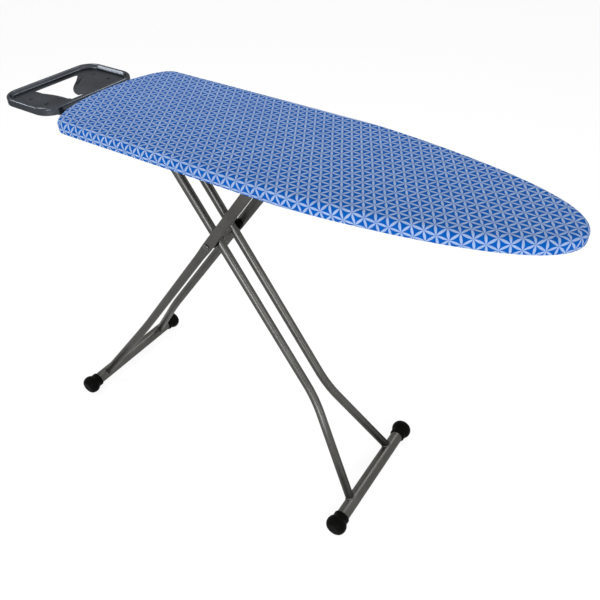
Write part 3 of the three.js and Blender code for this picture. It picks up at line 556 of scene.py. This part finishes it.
def make_pad():
    low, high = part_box("pad")
    top = high.z - WRINKLE
    rings = top_rings(PAD_INSET + PAD_ROUNDING, top, 10)
    for t in arc(0, 75, 6):
        inset = PAD_INSET + PAD_ROUNDING * (1 - math.sin(t))
        rings.append(inset_ring(inset, max(top - PAD_ROUNDING * (1 - math.cos(t)), low.z + 0.0012)))
    rings.append(inset_ring(PAD_INSET + 0.0008, low.z + 0.0004))
    rings.append(inset_ring(PAD_INSET + PAD_FOOT, low.z))
    rings += reversed(top_rings(PAD_INSET + PAD_FOOT, low.z, 6))
    bm = loft(rings)
    bmesh.ops.remove_doubles(bm, verts=bm.verts, dist=MERGE)
    piece = piece_from(bm, "felt_pad", "pad_felt", "board", "pad")


# ---------------------------------------------------------------- legs


def slid_to(point, y):
    """The point moved straight across the board, to y."""
    return Vector((point.x, y, point.z))


class Leg:
    """One pair of tubes: its direction down from the crossing and its spacings."""

    def __init__(self, body, foot, top, spacing, foot_spacing):
        self.body = body
        lower = slid_to(foot, 0) - slid_to(CROSSING, 0)
        self.down = lower.normalized()
        self.upper = (slid_to(top, 0) - slid_to(CROSSING, 0)).length
        self.lower = lower.length
        self.spacing = spacing
        self.foot_spacing = foot_spacing

    def at(self, along, y):
        return slid_to(CROSSING, y) + self.down * along

    def path(self, side, start, stop_short):
        """Points down one tube, round its bend, to just short of its foot bar's axis."""
        y, foot_y = side * self.spacing, side * self.foot_spacing
        bend_along = (CROSSING.z - BEND_HEIGHT) / -self.down.z
        bend = self.at(bend_along, y)
        foot = self.at(self.lower, foot_y)
        splay = (foot - bend).normalized()
        into, out = bend - self.down * BEND_REACH, bend + splay * BEND_REACH
        steps = 14
        curve = []
        for i in range(steps + 1):
            t = i / steps
            curve.append(into.lerp(bend, t).lerp(bend.lerp(out, t), t))
        straight = [self.at(start + (bend_along - BEND_REACH - start) * i / 12, y) for i in range(12)]
        return straight + curve + [foot - splay * stop_short], splay


def frames(path):
    """Each point with its sideways and forward directions across the tube."""
    placed = []
    for i, point in enumerate(path):
        ahead = path[min(i + 1, len(path) - 1)] - point
        behind = point - path[max(i - 1, 0)]
        tangent = (ahead.normalized() + behind.normalized()).normalized()
        side = (Vector((0, 1, 0)) - tangent * tangent.y).normalized()
        placed.append((point, side, side.cross(tangent)))
    return placed


def oval(point, side, front, width, depth, count=32):
    return [
        point + side * (width / 2 * math.cos(t)) + front * (depth / 2 * math.sin(t))
        for t in arc(0, 360, count)[:-1]
    ]


def smooth_step(value, start, end):
    share = min(max((value - start) / (end - start), 0), 1)
    return share * share * (3 - 2 * share)


def weld_bead(name, body, axis_point, splay, width, depth, radius, thickness=WELD):
    """A rippled bead where a tube runs into a round bar that lies along Y."""
    side = (Vector((0, 1, 0)) - splay * splay.y).normalized()
    front = side.cross(splay)
    points = []
    for t in arc(0, 360, 40)[:-1]:
        offset = side * (width / 2 * math.cos(t)) + front * (depth / 2 * math.sin(t))
        a = splay.x ** 2 + splay.z ** 2
        b = offset.x * splay.x + offset.z * splay.z
        c = offset.x ** 2 + offset.z ** 2 - radius ** 2
        back = (-b - math.sqrt(max(b * b - a * c, 0))) / a
        points.append(axis_point + offset + splay * back)
    curve = bpy.data.curves.new(name, "CURVE")
    curve.dimensions = "3D"
    curve.bevel_depth = thickness
    curve.bevel_resolution = 3
    spline = curve.splines.new("POLY")
    spline.points.add(len(points) - 1)
    spline.use_cyclic_u = True
    for i, (target, point) in enumerate(zip(spline.points, points)):
        target.co = (*point, 1)
        uneven = noise.noise(Vector((i * 0.7, axis_point.y * 9, 0)))
        target.radius = 0.85 + 0.22 * (i % 2) + 0.12 * uneven
    curve.materials.append(MATERIALS["leg_paint"])
    bead = bpy.data.objects.new(name, curve)
    bpy.context.scene.collection.objects.link(bead)
    enrol(bead, "leg_paint", body)


def make_tube_a(leg, label, side):
    path, splay = leg.path(side, -leg.upper + A_TOP_GAP, BAR_RADIUS - TUBE_IN_BAR)
    rings = [oval(*placed, TUBE, TUBE) for placed in frames(path)]
    name = f"leg_a_tube_{label}"
    piece_from(loft(rings, True, True), f"{name}_round", "leg_paint", leg.body, name)
    hinge_point = leg.at(-leg.upper, side * leg.spacing)
    weld_bead(f"hinge_weld_{label}", leg.body, hinge_point, -leg.down, TUBE, TUBE, TUBE / 2, HINGE_WELD)
    foot_point = leg.at(leg.lower, side * leg.foot_spacing)
    weld_bead(f"leg_a_foot_weld_{label}", leg.body, foot_point, splay, TUBE, TUBE, BAR_RADIUS)


def make_tube_b(leg, label, side):
    path, splay = leg.path(side, -leg.upper - TOP_PAST_ROD, BAR_RADIUS - TUBE_IN_BAR)
    top = [-leg.upper - TOP_PAST_ROD] + [-leg.upper * share for share in (0.98, 0.6, 0.2)]
    at_crossing = [0.0, OVAL_ENDS, 0.025, 0.04, ROUND_STARTS]
    below = next(i for i, point in enumerate(path) if point.z < CROSSING.z - ROUND_BELOW)
    path = [leg.at(along, side * leg.spacing) for along in top + at_crossing] + path[below:]
    rings = []
    for point, across, front in frames(path):
        along = (point - leg.at(0, point.y)).dot(leg.down)
        turned = smooth_step(along, OVAL_ENDS, ROUND_STARTS)
        width = OVAL_WIDTH + (TUBE - OVAL_WIDTH) * turned
        depth = OVAL_DEPTH + (TUBE - OVAL_DEPTH) * turned
        rings.append(oval(point, across, front, width, depth))
    tip, across, front = frames(path)[0]
    closing = []
    for share, lift in B_TIP:
        closing.append(oval(tip - leg.down * lift, across, front, OVAL_WIDTH * share, OVAL_DEPTH * share))
    name = f"leg_b_tube_{label}"
    piece_from(loft(closing + rings, True, True), f"{name}_round", "leg_paint", leg.body, name)
    foot_point = leg.at(leg.lower, side * leg.foot_spacing)
    weld_bead(f"leg_b_foot_weld_{label}", leg.body, foot_point, splay, TUBE, TUBE, BAR_RADIUS)


def ring_y(x, z, radius, y, count=56):
    return [
        Vector((x + radius * math.cos(t), y, z + radius * math.sin(t)))
        for t in arc(0, 360, count)[:-1]
    ]


def make_foot_bar(foot, body, node):
    inner = BAR_RADIUS - BAR_WALL
    profile = [
        (inner, -BAR_HALF + BAR_RECESS), (inner, -BAR_HALF), (BAR_RADIUS, -BAR_HALF),
        (BAR_RADIUS, -CAP_MOUTH), (BAR_RADIUS, 0), (BAR_RADIUS, CAP_MOUTH),
        (BAR_RADIUS, BAR_HALF), (inner, BAR_HALF), (inner, BAR_HALF - BAR_RECESS),
    ]
    rings = [ring_y(foot.x, foot.z, radius, y) for radius, y in profile]
    piece = piece_from(loft(rings, True, True), f"{node}_round", "leg_paint", body, node)
    modifier(piece, "EDGE_SPLIT", split_angle=math.radians(40))


def cap_profile():
    """Radius and distance from the mouth, from inside the mouth to the far end."""
    socket = BAR_RADIUS + 0.0003
    ball = CAP_LENGTH - COLLAR_LENGTH
    profile = [(socket, 0.006), (socket, 0.0006), (socket + 0.0005, 0), (COLLAR - 0.0012, 0)]
    profile += [(COLLAR - 0.0003, 0.0004), (COLLAR, 0.0013), (COLLAR, 0.0040), (COLLAR - 0.0005, 0.0044)]
    profile += [(COLLAR - 0.0005, 0.0054), (COLLAR, 0.0058), (COLLAR, COLLAR_LENGTH - 0.0012)]
    profile += [(COLLAR + 0.0008, COLLAR_LENGTH + 0.0004), (COLLAR + 0.0026, COLLAR_LENGTH + 0.0018)]
    for t in arc(-38, 84, 18):
        if t > 0:
            radius = BALL * (0.52 + 0.48 * math.cos(t))
        else:
            radius = BALL - (BALL - COLLAR) * (1 - math.cos(t)) * 1.9
        profile.append((radius, COLLAR_LENGTH + ball * (0.45 + 0.55 * math.sin(t))))
    profile.append((BALL * 0.3, CAP_LENGTH))
    return profile


def make_cap(foot, body, node, side):
    rings = [ring_y(foot.x, foot.z, radius, side * (CAP_MOUTH + reach)) for radius, reach in cap_profile()]
    bm = loft(rings, False, True)
    geometry = bm.verts[:] + bm.edges[:] + bm.faces[:]
    bmesh.ops.bisect_plane(bm, geom=geometry, plane_co=(0, 0, 0), plane_no=(0, 0, 1), clear_inner=True)
    rim = [edge for edge in bm.edges if edge.is_boundary and max(v.co.z for v in edge.verts) < 1e-6]
    bmesh.ops.edgeloop_fill(bm, edges=rim)
    piece = piece_from(bm, f"{node}_moulded", "black_plastic", body, node)
    modifier(piece, "EDGE_SPLIT", split_angle=math.radians(50))


# ---------------------------------------------------------------- iron rest


def rest_ring(inset, z):
    """A rectangle with round corners round the rest's centre."""
    half_x, half_y = REST_HALF.x - inset, REST_HALF.y - inset
    radius = REST_CORNER - inset
    ring = []
    for quarter, (sx, sy) in enumerate([(1, 1), (-1, 1), (-1, -1), (1, -1)]):
        centre = Vector((sx * (half_x - radius), sy * (half_y - radius)))
        for t in arc(quarter * 90, quarter * 90 + 90, 14):
            corner = centre + radius * Vector((math.cos(t), math.sin(t)))
            ring.append(Vector((REST_CENTRE.x + corner.x, corner.y, z)))
    return ring


def rest_opening():
    """The opening's outline, as shares of the floor's half sizes."""
    spans = [
        [(-0.72, -0.5), (-0.17, -0.353), (0.323, -0.307), (0.75, -0.36)],
        [(0.75, -0.36), (0.755, -0.27), (0.755, -0.17), (0.75, -0.08)],
        [(0.75, -0.08), (0.13, -0.17), (-0.29, 0.22), (-0.61, 0.48)],
        [(-0.61, 0.48), (-0.67, 0.52), (-0.72, 0.52), (-0.72, 0.42)],
        [(-0.72, 0.42), (-0.72, 0.1), (-0.72, -0.2), (-0.72, -0.5)],
    ]
    loop = []
    for span, count in zip(spans, (20, 6, 24, 8, 12)):
        corners = [Vector(corner) for corner in span]
        loop += [Vector(point[:2]) for point in interpolate_bezier(*corners, count)][:-1]
    half_x, half_y = REST_HALF.x - REST_RIM_WIDTH, REST_HALF.y - REST_RIM_WIDTH
    return [Vector((point.x * half_x, point.y * half_y)) for point in loop]


def distance_to(point, loop):
    """From a flat point to the nearest place on a closed loop."""
    nearest = math.inf
    for a, b in zip(loop, loop[1:] + loop[:1]):
        span = b - a
        share = min(max((point - a).dot(span) / span.length_squared, 0), 1)
        nearest = min(nearest, (point - a - span * share).length)
    return nearest


def inside_loop(point, loop):
    inside = False
    for a, b in zip(loop, loop[1:] + loop[:1]):
        if (a.y > point.y) != (b.y > point.y):
            if point.x < a.x + (b.x - a.x) * (point.y - a.y) / (b.y - a.y):
                inside = not inside
    return inside


def in_sheet(point, loops):
    """Inside the first loop and outside all the others."""
    outer, *cuts = loops
    return inside_loop(point, outer) and not any(inside_loop(point, loop) for loop in cuts)


def floor_drop(point, opening):
    """How far the floor's two tongues curl down towards the opening."""
    width, depth = NEAR_CURL if point.y < NEAR_CURL_END else FAR_CURL
    near_edge = 1 - smooth_step(distance_to(point, opening) / width, 0, 1)
    in_tongue = 1 - smooth_step(abs(point.x - TONGUE_MIDDLE), *TONGUE_FADE)
    return depth * near_edge * in_tongue


def add_floor(bm, floor):
    """Fills the rest's floor round its opening and holes, with curled tongues."""
    opening = rest_opening()
    circle = [REST_HOLE * Vector((math.cos(t), math.sin(t))) for t in arc(0, 360, 20)[:-1]]
    holes = [
        [Vector((sx * REST_HOLE_X, sy * REST_HOLE_Y)) + point for point in circle]
        for sx in (-1, 1) for sy in (-1, 1)
    ]
    outer = [Vector((point.x - REST_CENTRE.x, point.y)) for point in rest_ring(REST_FLOOR_INSET, floor)]
    loops = [outer, opening] + holes
    points, edges = [], []
    for loop in loops:
        first = len(points)
        points += loop
        edges += [(first + i, first + (i + 1) % len(loop)) for i in range(len(loop))]
    columns, rows = int(REST_HALF.x / FLOOR_STEP), int(REST_HALF.y / FLOOR_STEP)
    for i in range(-columns, columns + 1):
        for j in range(-rows, rows + 1):
            point = Vector(((i + 0.5 * (j % 2)) * FLOOR_STEP, j * FLOOR_STEP))
            clear = min(distance_to(point, loop) for loop in loops) > FLOOR_STEP * 0.4
            if clear and in_sheet(point, loops):
                points.append(point)
    flat, _, faces, _, _, _ = delaunay_2d_cdt(points, edges, [], 0, 1e-7)
    heights = [floor - floor_drop(point, opening) for point in flat]
    verts = [bm.verts.new((REST_CENTRE.x + point.x, point.y, z)) for point, z in zip(flat, heights)]
    for face in faces:
        centre = sum((flat[i] for i in face), Vector((0, 0))) / len(face)
        if in_sheet(centre, loops):
            bm.faces.new([verts[i] for i in face])


def turn_down_holes(bm):
    """Draws the edge of each small hole down into a collar."""
    def from_hole(vert):
        across = abs(vert.co.x - REST_CENTRE.x) - REST_HOLE_X
        return math.hypot(across, abs(vert.co.y) - REST_HOLE_Y)

    reach = REST_HOLE * 1.1
    for inward, down in HOLE_COLLAR:
        rim = [edge for edge in bm.edges if edge.is_boundary and from_hole(edge.verts[0]) < reach]
        made = bmesh.ops.extrude_edge_only(bm, edges=rim)["geom"]
        for vert in (item for item in made if isinstance(item, bmesh.types.BMVert)):
            x = REST_CENTRE.x + math.copysign(REST_HOLE_X, vert.co.x - REST_CENTRE.x)
            centre = Vector((x, math.copysign(REST_HOLE_Y, vert.co.y), vert.co.z))
            vert.co += (centre - vert.co).normalized() * inward
            vert.co.z -= down


def make_rest():
    top, bottom = REST_HIGH.z, REST_LOW.z
    floor = top - REST_FLOOR_DROP
    profile = [(0.0012, bottom + 0.0004), (0.0003, bottom), (0, bottom + 0.0008)]
    profile += [(0.0001, bottom + 0.004), (0.0002, top - REST_CREST)]
    profile += [
        (REST_CREST * (1 - math.sin(t)), top - REST_CREST * (1 - math.cos(t))) for t in arc(80, 0, 8)
    ]
    profile += [
        (REST_CREST + REST_SHOULDER * math.sin(t), top - REST_SHOULDER * (1 - math.cos(t)))
        for t in arc(12, 62, 5)
    ]
    wall = REST_FLOOR_INSET - REST_FILLET
    profile += [
        (wall + REST_FILLET * (1 - math.cos(t)), floor + REST_FILLET * (1 - math.sin(t)))
        for t in arc(22, 90, 6)
    ]
    bm = loft([rest_ring(inset, z) for inset, z in profile])
    add_floor(bm, floor)
    bmesh.ops.remove_doubles(bm, verts=bm.verts, dist=0.00002)
    turn_down_holes(bm)
    bmesh.ops.recalc_face_normals(bm, faces=bm.faces)
    if sum(face.normal.z * face.calc_area() for face in bm.faces) < 0:
        bmesh.ops.reverse_faces(bm, faces=bm.faces)
    piece = piece_from(bm, "pressed_rest", "rest_steel", "board", "iron_rest")
    modifier(piece, "SOLIDIFY", thickness=SHEET, offset=-1)
    modifier(piece, "EDGE_SPLIT", split_angle=math.radians(50))


# ---------------------------------------------------------------- CAD nodes that stay


def dress(node, slot, edge):
    """Gives a kept node its finish, round faces that read as round, and broken edges."""
    mesh = node.data
    if "custom_normal" in mesh.attributes:
        mesh.attributes.remove(mesh.attributes["custom_normal"])
    mesh.materials.clear()
    mesh.materials.append(MATERIALS[slot])
    mesh.polygons.foreach_set("use_smooth", [True] * len(mesh.polygons))
    modifier(node, "WELD", merge_threshold=0.00002)
    if edge:
        modifier(node, "BEVEL", width=edge, segments=2, limit_method="ANGLE", angle_limit=math.radians(40))
    modifier(node, "EDGE_SPLIT", split_angle=math.radians(32))


BROKEN_EDGE = 0.0004
PLAIN_EDGES = {"deck", "rim_frame", "lever_spring"}  # left as the CAD has them


def dress_kept_nodes():
    slots = {part["node"]: part["material_slot"] for part in frame["record"]["subparts"]}
    for name, node in frame["nodes"].items():
        if not node.hide_render:
            dress(node, slots[name], 0 if name in PLAIN_EDGES else BROKEN_EDGE)


# ---------------------------------------------------------------- camera, floor and light

CAMERA_PLACE = (0.7387, -0.9739, 1.4734)
CAMERA_TURN = math.radians(33.4)  # to the left of straight across the board
CAMERA_DIP = math.radians(39.17)
CAMERA_ROLL = math.radians(-0.155)
CAMERA_LENS = 38.71
FLOOR_GLOW = 1.09  # what the camera sees of the floor, apart from its lit surface
FLOOR_GLOW_SHARE = 0.82  # the rest is its lit surface, with the shadow
FLOOR_TONE = 0.86
FLOOR_REACH = 40.0
FLOOR_LEVEL = -0.0004
WORLD_LIGHT = 0.4  # where the camera, a mirror or glass sees 1
LAMP_AIM = (0, 0, 0.5)


def make_camera():
    data = bpy.data.cameras.new("camera")
    data.lens = CAMERA_LENS
    data.sensor_width = 36
    camera = bpy.data.objects.new("camera", data)
    bpy.context.scene.collection.objects.link(camera)
    turn = Matrix.Rotation(CAMERA_TURN, 4, "Z") @ Matrix.Rotation(math.pi / 2 - CAMERA_DIP, 4, "X")
    camera.matrix_world = Matrix.Translation(CAMERA_PLACE) @ turn @ Matrix.Rotation(CAMERA_ROLL, 4, "Z")
    bpy.context.scene.camera = camera


def seen_or_mirrored(tree):
    """1 for rays that come straight from the camera, a mirror or glass."""
    path = tree.nodes.new("ShaderNodeLightPath")
    total = path.outputs["Is Camera Ray"]
    for name in ("Is Glossy Ray", "Is Transmission Ray"):
        most = tree.nodes.new("ShaderNodeMath")
        most.operation = "MAXIMUM"
        tree.links.new(total, most.inputs[0])
        tree.links.new(path.outputs[name], most.inputs[1])
        total = most.outputs[0]
    return total


def make_world():
    world = bpy.data.worlds.new("studio")
    bpy.context.scene.world = world
    world.use_nodes = True
    tree = world.node_tree
    background = tree.nodes["Background"]
    background.inputs["Color"].default_value = (1, 1, 1, 1)
    strength = tree.nodes.new("ShaderNodeMapRange")
    tree.links.new(seen_or_mirrored(tree), strength.inputs["Value"])
    strength.inputs["To Min"].default_value = WORLD_LIGHT
    strength.inputs["To Max"].default_value = 1.0
    tree.links.new(strength.outputs["Result"], background.inputs["Strength"])


def make_floor():
    bm = bmesh.new()
    corners = ((-1, -1), (1, -1), (1, 1), (-1, 1))
    bm.faces.new([bm.verts.new((x * FLOOR_REACH, y * FLOOR_REACH, FLOOR_LEVEL)) for x, y in corners])
    mesh = bpy.data.meshes.new("floor")
    bm.to_mesh(mesh)
    bm.free()
    material = bpy.data.materials.new("floor")
    material.use_nodes = True
    tree = material.node_tree
    surface = tree.nodes["Principled BSDF"]
    surface.inputs["Base Color"].default_value = (FLOOR_TONE, FLOOR_TONE, FLOOR_TONE, 1)
    surface.inputs["Roughness"].default_value = 0.9
    glow = tree.nodes.new("ShaderNodeEmission")
    glow.inputs["Strength"].default_value = FLOOR_GLOW
    blend = tree.nodes.new("ShaderNodeMixShader")
    share = tree.nodes.new("ShaderNodeMath")
    share.operation = "MULTIPLY"
    share.inputs[1].default_value = FLOOR_GLOW_SHARE
    tree.links.new(seen_or_mirrored(tree), share.inputs[0])
    tree.links.new(share.outputs[0], blend.inputs["Fac"])
    tree.links.new(surface.outputs["BSDF"], blend.inputs[1])
    tree.links.new(glow.outputs["Emission"], blend.inputs[2])
    tree.links.new(blend.outputs["Shader"], tree.nodes["Material Output"].inputs["Surface"])
    mesh.materials.append(material)
    floor = bpy.data.objects.new("floor", mesh)
    bpy.context.scene.collection.objects.link(floor)


def make_lamp(name, place, size, power, colour=(1, 1, 1)):
    data = bpy.data.lights.new(name, "AREA")
    data.shape = "SQUARE"
    data.size = size
    data.energy = power
    data.color = colour
    lamp = bpy.data.objects.new(name, data)
    bpy.context.scene.collection.objects.link(lamp)
    lamp.location = place
    aim = Vector(LAMP_AIM) - lamp.location
    lamp.rotation_euler = aim.to_track_quat("-Z", "Y").to_euler()


# ---------------------------------------------------------------- the scene

make_camera()
make_world()
make_floor()
make_lamp("front", (1.3, -2.9, 1.0), 1.1, 62, (0.9, 0.95, 1.0))
make_lamp("side", (-2.5, -1.4, 1.7), 0.4, 12)
make_lamp("key", (-1.6, -0.6, 2.9), 0.9, 24)
make_lamp("fill", (2.6, -0.4, 1.7), 1.0, 18)
make_lamp("back", (0.3, 1.6, 2.5), 0.8, 14)
bpy.context.scene.view_settings.view_transform = "Standard"

make_cover()
make_pad()
make_rest()

LEG_A = Leg("leg_a", FOOT_A, HINGE, A_HALF_SPACING, A_FOOT_HALF_SPACING)
LEG_B = Leg("leg_b", FOOT_B, TOP_ROD, B_HALF_SPACING, B_FOOT_HALF_SPACING)
for label, side in (("near", -1), ("far", 1)):
    make_tube_a(LEG_A, label, side)
    make_tube_b(LEG_B, label, side)
    make_cap(FOOT_A, "leg_a", f"leg_a_cap_{label}", side)
    make_cap(FOOT_B, "leg_b", f"leg_b_cap_{label}", side)
make_foot_bar(FOOT_A, "leg_a", "leg_a_foot_bar")
make_foot_bar(FOOT_B, "leg_b", "leg_b_foot_bar")
dress_kept_nodes()
